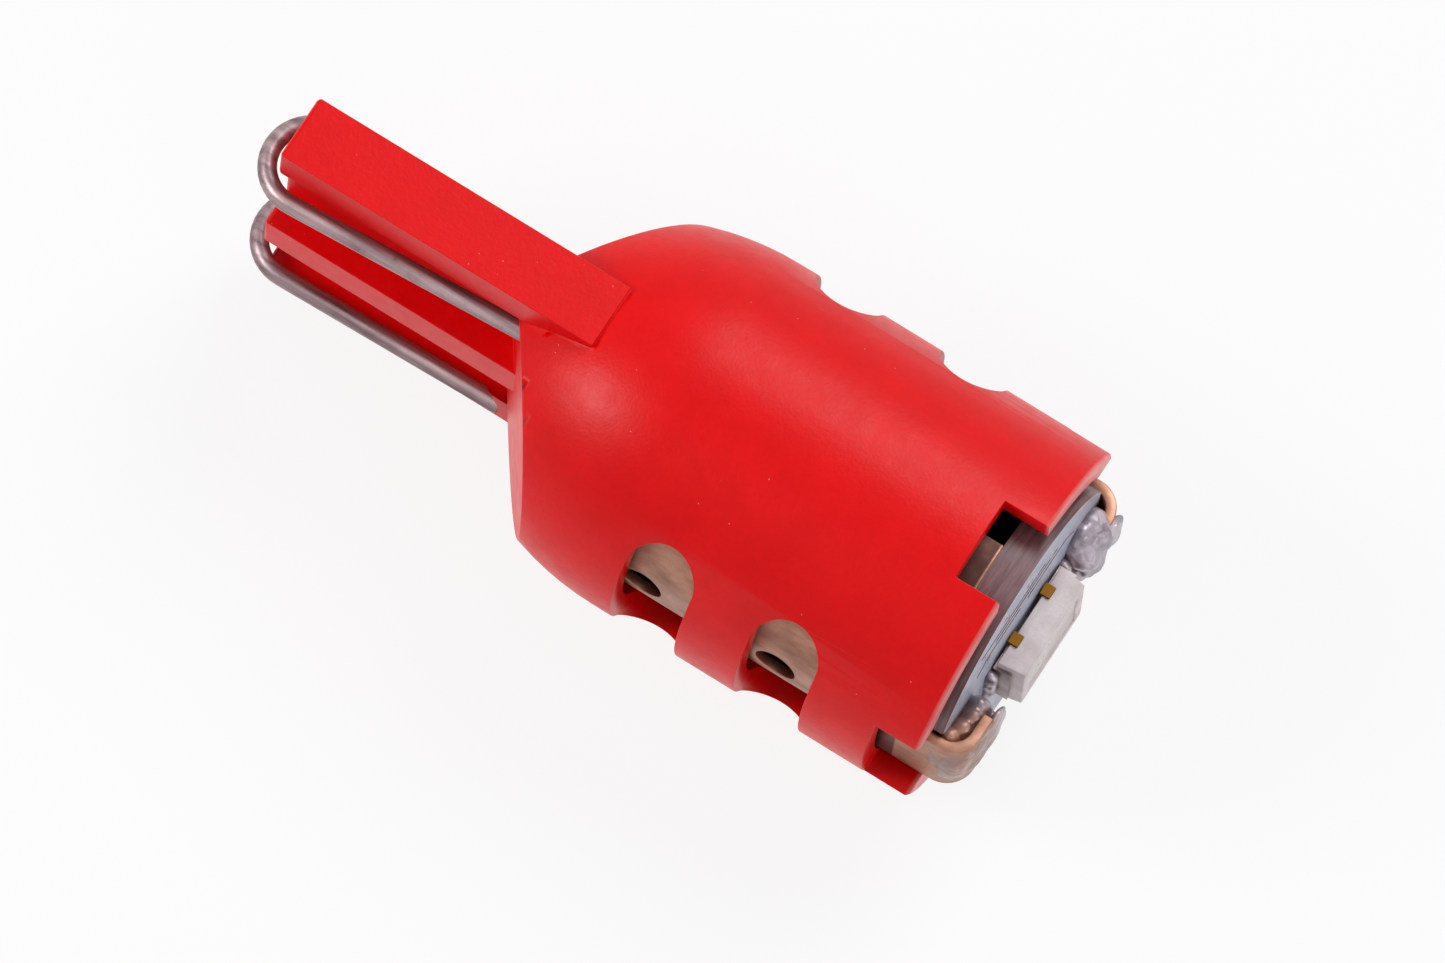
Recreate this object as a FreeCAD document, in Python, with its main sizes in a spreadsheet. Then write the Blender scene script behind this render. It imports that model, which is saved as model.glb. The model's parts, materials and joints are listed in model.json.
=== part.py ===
import FreeCAD, Part
import math
import os
import re
import Sketcher

# Wedge base LED bulb, in millimetres.
# +X runs along the bulb's axis from the wedge's tip to the LED, +Z points to the side that
# faces up when the bulb lies down, and the origin is on the axis in the plane of the rails' ends.

os.makedirs("parts", exist_ok=True)
doc = FreeCAD.newDocument("wedge_base_led_bulb")

# Driving dimensions: name, value in millimetres or degrees, meaning
SIZES = [
    ("body_step", 0.425, "body, out past the rails' outer faces"),
    ("barrel_length", 9.3, "round body, from the shoulder to its rim"),
    ("wall", 0.65, "wall of the body"),
    ("shoulder_length", 4.84, "domed shoulder, from the flats' start to the round body"),
    ("dome_radius", 7.7, "arc of the shoulder's outline"),
    ("cavity_lead", 1.3, "floor of the body's cavity, before the round body"),
    ("rim_bevel", 0.08, "bevel of the rim's outer edge"),
    ("flat_start", 7.14, "slanted flat, where it is as high as the rails"),
    ("flat_angle", 34.2, "slanted flat, from a plane across the axis"),
    ("rail_span", 9.15, "wedge, over both rails"),
    ("rail_width", 1.27, "side rail"),
    ("rail_thickness", 1.82, "side rail"),
    ("rail_run", 2.05, "rails on the shoulder, past the flats' start"),
    ("rail_round", 0.12, "rounding of the wedge's tip"),
    ("rib_width", 1.3, "centre rib"),
    ("rib_thickness", 2.74, "centre rib"),
    ("web_thickness", 0.8, "web between the rails and the rib"),
    ("wire_radius", 0.25, "contact wire"),
    ("wire_rail_gap", 0.285, "between a contact wire and its rail"),
    ("loop_radius", 1.13, "fold of the wire round the tip, to its centreline"),
    ("loop_drop", 0.18, "middle of the fold, from the wedge's middle plane"),
    ("loop_overhang", 0.8, "fold of the wire, out past the rails' ends"),
    ("leg_lean_front", 3.0, "lean of the front wire's outer leg, towards the web"),
    ("leg_lean_back", 1.1, "lean of the back wire's outer leg, towards the web"),
    ("leg_depth", 0.5, "end of the front wire's outer leg, past the flats' start"),
    ("leg_short", 0.05, "end of the back wire's outer leg, before the flats' start"),
    ("clip_run", 0.7, "slanted cut of the back wire's end, along the wire"),
    ("clip_flat", 0.1, "wire left below that cut, at its tip"),
    ("wire_clearance", 0.04, "room round a wire in its hole"),
    ("wire_overlap", 2.1, "contact wire along the driver board"),
    ("slot_length", 6.35, "side vent slot, across the body"),
    ("slot_width", 1.9, "side vent slot, along the body"),
    ("slot_setback", 1.55, "centre of the first slot, past the shoulder"),
    ("slot_pitch", 3.65, "from slot to slot"),
    ("side_notch_width", 2.35, "rim notch beside the seam"),
    ("side_notch_depth", 1.3, "rim notch beside the seam"),
    ("claw_notch_width", 3.7, "rim notch for a claw"),
    ("claw_notch_depth", 1.27, "rim notch for a claw"),
    ("tube_fit", 0.25, "between the rolled tube and the body's wall"),
    ("tube_setback", 0.8, "rim of the tube, inside the body's rim"),
    ("sheet_thickness", 0.28, "copper sheet of the tube"),
    ("seam_edge", 0.42, "near edge of the open seam, from the middle plane"),
    ("seam_width", 1.1, "open seam"),
    ("vent_radius", 0.575, "round vent hole in the tube"),
    ("vent_setback", 0.6, "centre of the first vent hole, before the first slot's"),
    ("vent_pitch", 3.95, "from vent hole to vent hole"),
    ("claw_width", 2.6, "claw"),
    ("claw_root", 0.6, "claw's root, below the tube's rim"),
    ("claw_gap_left", 0.29, "between the LED board and the left claw's arm"),
    ("claw_gap_right", 0.51, "between the LED board and the right claw's arm"),
    ("claw_bend", 0.8, "bend of the claw, outside"),
    ("claw_arm", 1.4, "claw's arm, from the outside of the tube"),
    ("board_inset", 0.05, "LED board's edge, from the outside of the tube"),
    ("board_thickness", 0.95, "LED board"),
    ("board_lean", 1.8, "lean of the LED board"),
    ("board_fit", 0.12, "room between the LED board and a claw"),
    ("solder_gap", 0.03, "between the LED's solder and a claw's"),
    ("led_width", 2.3, "LED body, across"),
    ("led_height", 0.75, "LED body"),
    ("led_gap", 0.13, "under the LED body"),
    ("led_taper", 0.1, "how far each side of the LED body leans in"),
    ("led_shift", 0.165, "LED body, off the board's middle"),
    ("window_end", 0.425, "end wall of the cup in the LED body"),
    ("window_width", 1.7, "cup in the LED body"),
    ("window_depth", 0.35, "cup in the LED body"),
    ("window_dip", 0.04, "fill of the cup, below its rim"),
    ("die_size", 0.6, "light emitting die, square"),
    ("die_height", 0.12, "light emitting die"),
    ("terminal_width", 1.7, "LED terminal"),
    ("terminal_rise", 0.55, "end plate of an LED terminal, above the board"),
    ("terminal_sheet", 0.08, "sheet metal of an LED terminal"),
    ("tab_width", 0.33, "side tab of an LED terminal"),
    ("tab_height", 0.27, "side tab of an LED terminal"),
    ("tab_reach", 0.06, "side tab of an LED terminal, out past the LED body's side"),
    ("fillet_length", 0.3, "solder beyond the LED terminal"),
    ("fillet_height", 0.34, "solder on the LED terminal, above the board"),
    ("claw_solder_width", 2.4, "solder round a claw's end"),
    ("claw_solder_reach", 0.6, "claw's solder, past the end of the arm"),
    ("claw_solder_inset", 0.07, "claw's solder, from the inside of the tube"),
    ("claw_solder_cover", 0.1, "solder on top of the claw's arm"),
    ("claw_solder_round", 0.15, "corners of the claw's solder"),
    ("driver_setback", 0.7, "driver board's edge, from the floor of the cavity"),
    ("driver_gap", 1.4, "driver board's other edge, from the rim of the tube"),
    ("driver_fit", 0.31, "between the driver board's long edges and the tube"),
    ("driver_thickness", 0.8, "driver board"),
    ("link_radius", 0.2, "link wire from the driver board to the LED board"),
    ("link_offset", 1.3, "link wire from the middle plane"),
    ("link_overlap", 1.2, "link wire along the driver board"),
    ("link_depth", 0.45, "link wire in the LED board"),
    ("joint_length", 1.2, "solder joint on a wire"),
    ("joint_cover", 0.15, "solder joint, above the wire"),
    ("joint_film", 0.05, "solder joint, under the wire"),
    ("part_margin", 0.8, "first parts, from the driver board's edge"),
    ("part_gap", 0.25, "between parts on the driver board"),
    ("part_clearance", 0.47, "between the wires' solder and the parts between them"),
    ("part_end_gap", 0.55, "between the last part and the link wires' solder"),
    ("capacitor_height", 1.2, "capacitor"),
    ("resistor_height", 0.55, "resistors"),
    ("sense_length", 2.0, "sense resistor"),
    ("sense_width", 1.25, "sense resistor"),
    ("chip_margin", 0.4, "driver chip, from the driver board's edge"),
    ("rectifier_width", 3.8, "bridge rectifier"),
    ("rectifier_height", 1.5, "bridge rectifier"),
    ("regulator_length", 2.0, "driver chip, along the bulb"),
    ("regulator_width", 1.6, "driver chip"),
    ("regulator_height", 1.0, "driver chip"),
    ("chip_standoff", 0.1, "chip bodies, off the driver board"),
    ("lead_thickness", 0.2, "chip leads"),
    ("lead_width", 0.6, "chip leads"),
    ("lead_length", 0.6, "chip leads, out of the body"),
    ("cap_proud", 0.03, "end caps of resistors and capacitors, above their bodies"),
    ("cap_length", 0.5, "end caps of resistors and capacitors"),
]

# Sizes and places that follow from others, in the order in which they are worked out
FORMULAS = [
    ("body_radius", "rail_span / 2 + body_step", "round body, outside"),
    ("shoulder_end", "flat_start + shoulder_length", "where the shoulder meets the round body"),
    ("body_end", "shoulder_end + barrel_length", "rim of the body"),
    ("cavity_start", "shoulder_end - cavity_lead", "floor of the body's cavity"),
    ("flat_slope", "tan(flat_angle)", "slanted flat, along the axis for each step out"),
    ("shoulder_start", "flat_start - flat_slope * (rail_thickness - web_thickness) / 2", "foot of the flats"),
    ("dome_centre", "dome_radius - body_radius", "centre of the shoulder's arc, beyond the axis"),
    ("start_radius", "sqrt(dome_radius ^ 2 - (shoulder_end - shoulder_start) ^ 2) - dome_centre",
     "shoulder at the foot of the flats"),
    ("rail_end", "flat_start + rail_run", "where the rails end on the shoulder"),
    ("wire_offset", "rail_span / 2 - rail_width - wire_rail_gap - wire_radius", "contact wire, off the axis"),
    ("inner_leg", "loop_radius - loop_drop", "wire's leg to the driver board, off the middle plane"),
    ("loop_centre", "loop_radius + wire_radius - loop_overhang", "centre of the wire's fold"),
    ("leg_end_front", "flat_start + leg_depth", "end of the front wire's outer leg, in the shoulder"),
    ("leg_end_back", "flat_start - leg_short", "end of the back wire's outer leg"),
    ("slot_first", "shoulder_end + slot_setback", "centre of the first slot"),
    ("vent_first", "slot_first - vent_setback", "centre of the first vent hole"),
    ("tube_radius", "body_radius - wall - tube_fit", "rolled tube, outside"),
    ("tube_inside", "tube_radius - sheet_thickness", "rolled tube, inside"),
    ("tube_end", "body_end - tube_setback", "rim of the tube"),
    ("board_radius", "tube_radius - board_inset", "LED board"),
    ("board_back", "tube_end + board_radius * sin(board_lean)", "LED board's underside, on the axis"),
    ("board_top", "board_back + board_thickness / cos(board_lean)", "LED board's face, on the axis"),
    ("claw_top_left", "board_top + claw_gap_left + sheet_thickness", "outer face of the left claw's arm"),
    ("claw_top_right", "board_top + claw_gap_right + sheet_thickness", "outer face of the right claw's arm"),
    ("claw_reach", "tube_radius - claw_arm", "end of a claw's arm, from the axis"),
    ("claw_solder_inner", "claw_reach - claw_solder_reach", "inner end of a claw's solder"),
    ("claw_solder_outer", "tube_inside - claw_solder_inset", "outer end of a claw's solder"),
    ("led_length", "2 * (claw_solder_inner - solder_gap - fillet_length - terminal_sheet - led_shift)",
     "LED body, from terminal to terminal"),
    ("window_length", "led_length - 2 * window_end", "cup in the LED body"),
    ("tab_place", "led_length / 4", "side tab of an LED terminal, in the middle of its half"),
    ("terminal_foot", "led_length / 2 + terminal_sheet - tab_place + tab_width / 2", "foot of a terminal"),
    ("led_base", "board_thickness + led_gap", "underside of the LED body, above the board's back"),
    ("led_top", "led_base + led_height", "top of the LED body, above the board's back"),
    ("driver_face", "inner_leg - wire_radius - joint_film", "driver board's face, from the middle plane"),
    ("driver_back", "driver_face - driver_thickness", "driver board's back, from the middle plane"),
    ("driver_start", "cavity_start + driver_setback", "driver board's edge at the wedge end"),
    ("driver_end", "tube_end - driver_gap", "driver board's edge at the LED end"),
    ("driver_width", "2 * (sqrt(tube_inside ^ 2 - driver_face ^ 2) - driver_fit)", "driver board"),
    ("wire_inner_end", "driver_start + wire_overlap", "contact wire's end on the driver board"),
    ("part_length", "2 * (wire_offset - 2 * wire_radius - joint_film - joint_cover - part_clearance)",
     "capacitor and series resistor"),
    ("link_start", "driver_end - link_overlap", "link wire's end on the driver board"),
    ("link_height", "driver_face + joint_film + link_radius", "link wire, from the middle plane"),
    ("part_start", "driver_start + part_margin", "first parts on the driver board"),
    ("part_room", "link_start - joint_length / 6 - part_end_gap - part_start", "for all the parts in a row"),
    ("part_width", "(part_room - sense_width - 2 * part_gap) / 2", "capacitor and series resistor"),
    ("regulator_start", "driver_end - chip_margin - regulator_length", "driver chip"),
    ("rectifier_length", "regulator_start - 2 * part_gap - part_start", "bridge rectifier, along the bulb"),
    ("through", "4 * body_radius", "length of a cut that passes through the whole bulb"),
]

sheet = doc.addObject("Spreadsheet::Sheet", "Sizes")
for row, (alias, value, meaning) in enumerate(SIZES + FORMULAS, start=1):
    sheet.set(f"A{row}", alias)
    sheet.set(f"B{row}", f"={value}")
    sheet.set(f"C{row}", meaning)
    sheet.setAlias(f"B{row}", alias)
doc.recompute()
ALIASES = {alias for alias, _, _ in SIZES + FORMULAS}

BOARD_TURN = ((0, 1, 0), "90 - board_lean")
SIDES = (("front", ""), ("back", "-"))
ENDS = (("left", ""), ("right", "-"))


def expand(text):
    """An expression with each of the sheet's names written as the document needs it."""
    return re.sub(r"[a-z_]+", lambda word: f"Sizes.{word[0]}" if word[0] in ALIASES else word[0], text)


def number(text):
    """The value of an expression, in millimetres or degrees."""
    value = sheet.evalExpression(expand(text))
    return float(getattr(value, "Value", value))


def bind(item, **sizes):
    for name, text in sizes.items():
        item.setExpression(name, expand(text))


def place(item, at, turn=None):
    """Puts an object at a point, given as three expressions, and turns it about one axis."""
    if turn is not None:
        axis, angle = turn
        item.Placement = FreeCAD.Placement(
            FreeCAD.Vector(), FreeCAD.Rotation(FreeCAD.Vector(*axis), number(angle))
        )
        item.setExpression("Placement.Rotation.Angle", expand(angle))
    for letter, text in zip("xyz", at):
        item.setExpression(f"Placement.Base.{letter}", expand(text))


def new_body(name, at=None, turn=None):
    body = doc.addObject("PartDesign::Body", name)
    body.Label = name
    if at is not None:
        place(body, at, turn)
    return body


def leaning_body(name):
    """A body in the LED board's frame: z stands on the board, y runs from claw to claw."""
    return new_body(name, ("board_back", "0", "0"), BOARD_TURN)


def origin_part(body, role):
    return next(part for part in body.Origin.OriginFeatures if part.Role == role)


TURNS = {"x": ((0, 1, 0), "90"), "y": ((1, 0, 0), "-90"), "z": None}


def block(body, name, corner, size, cut=False):
    """A box from its lowest corner."""
    item = body.newObject(f"PartDesign::{'Subtractive' if cut else 'Additive'}Box", name)
    bind(item, Length=size[0], Width=size[1], Height=size[2])
    place(item, corner)
    return item


def rod(body, name, start, radius, length, along, cut=False):
    """A cylinder from the centre of its first face."""
    item = body.newObject(f"PartDesign::{'Subtractive' if cut else 'Additive'}Cylinder", name)
    bind(item, Radius=radius, Height=length)
    place(item, start, TURNS[along])
    return item


def arc_edge(first, last, bend):
    """An arc between two points: a positive bend turns left on the way, a negative one right."""
    chord = last - first
    rise = math.sqrt(bend * bend - chord.Length ** 2 / 4)
    left = FreeCAD.Vector(-chord.y, chord.x, 0).normalize()
    centre = (first + last) * 0.5 + left * math.copysign(rise, bend)
    ends = (first, last) if bend > 0 else (last, first)
    begin, finish = (math.atan2(p.y - centre.y, p.x - centre.x) for p in ends)
    if finish < begin:
        finish += 2 * math.pi
    return Part.ArcOfCircle(Part.Circle(centre, FreeCAD.Vector(0, 0, 1), abs(bend)), begin, finish)


def pin(sketch, edge, end, point):
    """Fixes one end of a sketch edge to two expressions."""
    for word, axis, text in (("DistanceX", -2, point[0]), ("DistanceY", -1, point[1])):
        if text == "0":
            sketch.addConstraint(Sketcher.Constraint("PointOnObject", edge, end, axis))
            continue
        spot = sketch.addConstraint(Sketcher.Constraint(word, -1, 1, edge, end, number(text)))
        sketch.setExpression(f"Constraints[{spot}]", expand(text))


def outline(body, name, role, points, closed=True):
    """A sketch through points of two expressions, with a third where an arc leads to the point."""
    sketch = body.newObject("Sketcher::SketchObject", name)
    sketch.AttachmentSupport = [(origin_part(body, role), "")]
    sketch.MapMode = "FlatFace"
    stops = points[1:] + points[:1] if closed else points[1:]
    ends = []
    for edge, (point, stop) in enumerate(zip(points, stops)):
        first, last = (FreeCAD.Vector(number(p[0]), number(p[1]), 0) for p in (point, stop))
        bend = number(stop[2]) if len(stop) > 2 else 0
        sketch.addGeometry(arc_edge(first, last, bend) if bend else Part.LineSegment(first, last), False)
        ends.append((2, 1) if bend < 0 else (1, 2))
        pin(sketch, edge, ends[-1][0], point)
        if bend:
            spot = sketch.addConstraint(Sketcher.Constraint("Radius", edge, abs(bend)))
            sketch.setExpression(f"Constraints[{spot}]", expand(f"abs({stop[2]})"))
        if edge:
            sketch.addConstraint(Sketcher.Constraint("Coincident", edge - 1, ends[-2][1], edge, ends[-1][0]))
    if closed:
        sketch.addConstraint(Sketcher.Constraint("Coincident", edge, ends[-1][1], 0, ends[0][0]))
    else:
        pin(sketch, edge, ends[-1][1], points[-1])
    return sketch


def extrude(body, name, sketch, thickness, cut=False):
    """A pad or pocket to both sides of its sketch."""
    item = body.newObject(f"PartDesign::{'Pocket' if cut else 'Pad'}", name)
    item.Profile = sketch
    item.SideType = "Symmetric"
    bind(item, Length=thickness)
    return item


def cut_out(name, base, tools):
    """The base without the pieces that pass through it."""
    for i, tool in enumerate(tools):
        item = doc.addObject("Part::Cut", f"{name}_{i}")
        item.Base = base
        item.Tool = tool
        base = item
    base.Label = name
    return base


def leg_place(side, along):
    """The middle of a contact wire's outer leg, off the middle plane, at a place along the bulb."""
    lean = f"leg_lean_{side}"
    return f"-(loop_drop + loop_radius / cos({lean}) - ({along} - loop_centre) * tan({lean}))"


def housing():
    """One moulding: wedge base, domed shoulder, round body with vent slots and rim notches."""
    body = new_body("housing")
    shell = outline(body, "shell_section", "XY_Plane", [
        ("shoulder_start", "0"),
        ("shoulder_start", "start_radius"),
        ("shoulder_end", "body_radius", "-dome_radius"),
        ("body_end - rim_bevel", "body_radius"),
        ("body_end", "body_radius - rim_bevel"),
        ("body_end", "body_radius - wall"),
        ("cavity_start", "body_radius - wall"),
        ("cavity_start", "0"),
    ])
    turned = body.newObject("PartDesign::Revolution", "shell")
    turned.Profile = shell
    turned.ReferenceAxis = (origin_part(body, "X_Axis"), [""])
    turned.Angle = 360

    for side, sign in SIDES:
        web_face = f"{sign}web_thickness / 2"
        clear_of_dome = f"{sign}(body_radius + wall)"
        rise = "(body_radius + wall - web_thickness / 2)"
        flat = outline(body, f"flat_{side}_section", "XY_Plane", [
            ("shoulder_start", web_face),
            (f"shoulder_start + flat_slope * {rise}", clear_of_dome),
            ("shoulder_start - wall", clear_of_dome),
            ("shoulder_start - wall", web_face),
        ])
        extrude(body, f"flat_{side}", flat, "through", cut=True)

    root = "flat_start + rail_thickness / 2"
    for side, low in (("front", "rail_span / 2 - rail_width"), ("back", "-rail_span / 2")):
        block(body, f"rail_{side}", ("0", "-rail_thickness / 2", low),
              ("rail_end", "rail_thickness", "rail_width"))
    block(body, "web", ("0", "-web_thickness / 2", "-rail_span / 2 + rail_width / 2"),
          (root, "web_thickness", "rail_span - rail_width"))
    wedge = block(body, "rib", ("0", "-rib_thickness / 2", "-rib_width / 2"),
                  (root, "rib_thickness", "rib_width"))
    doc.recompute()
    rounding = body.newObject("PartDesign::Fillet", "rail_ends_round")
    rounding.Base = (wedge, [
        f"Edge{i}" for i, edge in enumerate(wedge.Shape.Edges, start=1) if edge.BoundBox.XMax < 1e-3
    ])
    bind(rounding, Radius="rail_round")

    hole_start = "shoulder_start - wall"
    for side, sign in SIDES:
        across = f"{sign}wire_offset"
        rod(body, f"wire_hole_{side}", (hole_start, "inner_leg", across),
            "wire_radius + wire_clearance", f"cavity_start + wall - ({hole_start})", "x", cut=True)
    rod(body, "leg_hole", ("shoulder_start", leg_place("front", "flat_start"), "wire_offset"),
        "wire_radius + wire_clearance", "leg_end_front + wire_clearance - shoulder_start", "x", cut=True)

    for i, centre in enumerate(("slot_first", "slot_first + slot_pitch"), start=1):
        half = "(slot_length - slot_width) / 2"
        block(body, f"slot_{i}", (f"{centre} - slot_width / 2", "-through / 2", f"-{half}"),
              ("slot_width", "through", "slot_length - slot_width"), cut=True)
        for side, sign in SIDES:
            rod(body, f"slot_{i}_{side}", (centre, "-through / 2", f"{sign}{half}"),
                "slot_width / 2", "through", "y", cut=True)

    block(body, "side_notches", ("body_end - side_notch_depth", "-side_notch_width / 2", "-through / 2"),
          ("side_notch_depth + wall", "side_notch_width", "through"), cut=True)
    block(body, "claw_notches", ("body_end - claw_notch_depth", "-through / 2", "-claw_notch_width / 2"),
          ("claw_notch_depth + wall", "through", "claw_notch_width"), cut=True)
    return body


def contact_wire(side, sign):
    """A tinned wire from the driver board, along the wedge, round its tip and back to the shoulder."""
    name = f"contact_wire_{side}"
    lean = f"leg_lean_{side}"
    end = f"leg_end_{side}"
    body = new_body(name, ("0", "0", f"{sign}wire_offset"))
    route = outline(body, f"{name}_route", "XY_Plane", [
        ("wire_inner_end", "inner_leg"),
        ("loop_centre", "inner_leg"),
        ("loop_centre - loop_radius", "-loop_drop", "loop_radius"),
        (f"loop_centre + loop_radius * sin({lean})", f"-loop_drop - loop_radius * cos({lean})",
         "loop_radius"),
        (end, leg_place(side, end)),
    ], closed=False)
    ring = body.newObject("Sketcher::SketchObject", f"{name}_section")
    ring.AttachmentSupport = [(origin_part(body, "YZ_Plane"), "")]
    ring.MapMode = "FlatFace"
    ring.setExpression("AttachmentOffset.Base.z", expand("wire_inner_end"))
    centre = FreeCAD.Vector(number("inner_leg"), 0, 0)
    ring.addGeometry(Part.Circle(centre, FreeCAD.Vector(0, 0, 1), number("wire_radius")), False)
    pin(ring, 0, 3, ("inner_leg", "0"))
    spot = ring.addConstraint(Sketcher.Constraint("Radius", 0, number("wire_radius")))
    ring.setExpression(f"Constraints[{spot}]", expand("wire_radius"))
    pipe = body.newObject("PartDesign::AdditivePipe", f"{name}_pipe")
    pipe.Profile = ring
    pipe.Spine = (route, [f"Edge{i + 1}" for i in range(route.GeometryCount)])
    if side == "back":
        middle = leg_place(side, end)
        clipped = outline(body, f"{name}_clip_section", "XY_Plane", [
            (end, f"{middle} - wire_radius + clip_flat"),
            (f"{end} + wire_radius", f"{middle} - wire_radius + clip_flat"),
            (f"{end} + wire_radius", f"{middle} + 2 * wire_radius"),
            (f"{end} - clip_run", f"{middle} + 2 * wire_radius"),
            (f"{end} - clip_run", f"{middle} + wire_radius"),
        ])
        extrude(body, f"{name}_clip", clipped, "4 * wire_radius", cut=True)
    return body


def heat_tube():
    """One copper sheet: rolled, with an open seam, vent holes and two claws bent over."""
    body = new_body("heat_tube")
    rod(body, "tube", ("cavity_start", "0", "0"), "tube_radius", "tube_end - cavity_start", "x")
    rod(body, "tube_inside", ("cavity_start - wall", "0", "0"), "tube_inside",
        "tube_end - cavity_start + 2 * wall", "x", cut=True)
    for end, sign in ENDS:
        bend = "claw_bend" if sign == "" else "-claw_bend"
        inner_bend = "-(claw_bend - sheet_thickness)" if sign == "" else "claw_bend - sheet_thickness"
        top = f"claw_top_{end}"
        side = outline(body, f"claw_{end}_section", "XY_Plane", [
            ("tube_end - claw_root", f"{sign}tube_inside"),
            (f"{top} - claw_bend", f"{sign}tube_inside"),
            (f"{top} - sheet_thickness", f"{sign}(tube_radius - claw_bend)", inner_bend),
            (f"{top} - sheet_thickness", f"{sign}claw_reach"),
            (top, f"{sign}claw_reach"),
            (top, f"{sign}(tube_radius - claw_bend)"),
            (f"{top} - claw_bend", f"{sign}tube_radius", bend),
            ("tube_end - claw_root", f"{sign}tube_radius"),
        ])
        extrude(body, f"claw_{end}", side, "claw_width")
    block(body, "seam", ("cavity_start - wall", "seam_edge", "0"),
          ("tube_end - cavity_start + 2 * wall", "seam_width", "2 * tube_radius"), cut=True)
    for i, centre in enumerate(("vent_first", "vent_first + vent_pitch"), start=1):
        rod(body, f"vent_{i}", (centre, "-through / 2", "0"), "vent_radius", "through", "y", cut=True)
    return body


def led_board():
    """Round board that leans on the tube's rim, notched for the claws, holed for the links."""
    body = leaning_body("led_board")
    rod(body, "board_disc", ("0", "0", "0"), "board_radius", "board_thickness", "z")
    for end, low in (("left", "tube_inside - board_fit"),
                     ("right", "-(tube_radius + sheet_thickness)")):
        block(body, f"board_notch_{end}", ("-claw_width / 2 - board_fit", low, "-board_thickness"),
              ("claw_width + 2 * board_fit", "2 * sheet_thickness + board_fit", "3 * board_thickness"),
              cut=True)
    for side, sign in SIDES:
        spread = f"{sign}link_offset / cos(board_lean)"
        rod(body, f"link_hole_{side}", (f"-({spread})", "link_height", "-board_fit"),
            "link_radius + board_fit", "link_depth + 2 * board_fit", "z", cut=True)
    return body


def side_tab(body, name, sign, cut=False):
    """A terminal's tab across the base of the LED body, or the room for it."""
    block(body, name, ("-led_width / 2 - tab_reach", f"led_shift + {sign}tab_place - tab_width / 2",
          "led_base - terminal_sheet"), ("led_width + 2 * tab_reach", "tab_width", "tab_height"), cut=cut)


def led_body():
    body = leaning_body("led_body")
    moulding = body.newObject("PartDesign::AdditiveWedge", "led_moulding")
    bind(moulding, Xmin="-led_width / 2", Xmax="led_width / 2", Ymin="0", Ymax="led_height",
         Zmin="-led_length / 2", Zmax="led_length / 2",
         X2min="-led_width / 2 + led_taper", X2max="led_width / 2 - led_taper",
         Z2min="-led_length / 2 + led_taper", Z2max="led_length / 2 - led_taper")
    place(moulding, ("0", "led_shift", "led_base"), ((1, 0, 0), "90"))
    block(body, "led_cup",
          ("-window_width / 2", "led_shift - window_length / 2", "led_top - window_depth"),
          ("window_width", "window_length", "2 * window_depth"), cut=True)
    for end, sign in ENDS:
        side_tab(body, f"tab_room_{end}", sign, cut=True)
    return body


def led_die():
    body = leaning_body("led_die")
    block(body, "die", ("-die_size / 2", "led_shift - die_size / 2", "led_top - window_depth"),
          ("die_size", "die_size", "die_height"))
    return body


def led_window(die):
    body = leaning_body("led_fill")
    block(body, "fill", ("-window_width / 2", "led_shift - window_length / 2", "led_top - window_depth"),
          ("window_width", "window_length", "window_depth - window_dip"))
    return cut_out("led_window", body, [die])


def led_terminal(end, sign):
    """A foot under the LED body, a plate up its end and a tab out of both its sides."""
    body = leaning_body(f"led_terminal_{end}")
    outer = "led_length / 2 + terminal_sheet"
    foot_low = f"led_shift + {outer} - terminal_foot" if sign == "" else f"led_shift - ({outer})"
    plate_low = "led_shift + led_length / 2" if sign == "" else f"led_shift - ({outer})"
    base = "board_thickness + led_gap - terminal_sheet"
    block(body, f"foot_{end}", ("-terminal_width / 2", foot_low, base),
          ("terminal_width", "terminal_foot", "terminal_sheet"))
    block(body, f"plate_{end}", ("-terminal_width / 2", plate_low, base),
          ("terminal_width", "terminal_sheet", "terminal_rise - led_gap + terminal_sheet"))
    side_tab(body, f"tab_{end}", sign)
    return body


def led_solder(end, sign):
    """Solder under an LED terminal's foot, with a fillet up its end plate."""
    body = leaning_body(f"led_solder_{end}")
    start = "(led_length / 2 + terminal_sheet)"
    low = f"led_shift + {start} - terminal_foot" if sign == "" else f"led_shift - {start}"
    block(body, f"film_{end}", ("-terminal_width / 2", low, "board_thickness"),
          ("terminal_width", "terminal_foot", "led_gap - terminal_sheet"))
    section = outline(body, f"fillet_{end}_section", "YZ_Plane", [
        (f"led_shift + {sign}{start}", "board_thickness"),
        (f"led_shift + {sign}({start} + fillet_length)", "board_thickness"),
        (f"led_shift + {sign}{start}", "board_thickness + fillet_height"),
    ])
    extrude(body, f"fillet_{end}", section, "terminal_width")
    return body


def claw_solder(end, sign, tube, board):
    """Solder round the end of a claw, down to the LED board."""
    body = new_body(f"claw_solder_mass_{end}")
    low = "claw_solder_inner" if sign == "" else "-claw_solder_outer"
    base = "(board_back + board_thickness / 2)"
    mass = block(body, f"mass_{end}", (base, low, "-claw_solder_width / 2"),
                 (f"claw_top_{end} + claw_solder_cover - {base}", "claw_solder_outer - claw_solder_inner",
                  "claw_solder_width"))
    doc.recompute()
    rounding = body.newObject("PartDesign::Fillet", f"mass_{end}_round")
    rounding.Base = (mass, [f"Edge{i + 1}" for i in range(len(mass.Shape.Edges))])
    bind(rounding, Radius="claw_solder_round")
    return cut_out(f"claw_solder_{end}", body, [tube, board])


def driver_board():
    body = new_body("driver_board")
    block(body, "driver_sheet", ("driver_start", "driver_back", "-driver_width / 2"),
          ("driver_end - driver_start", "driver_thickness", "driver_width"))
    return body


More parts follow.
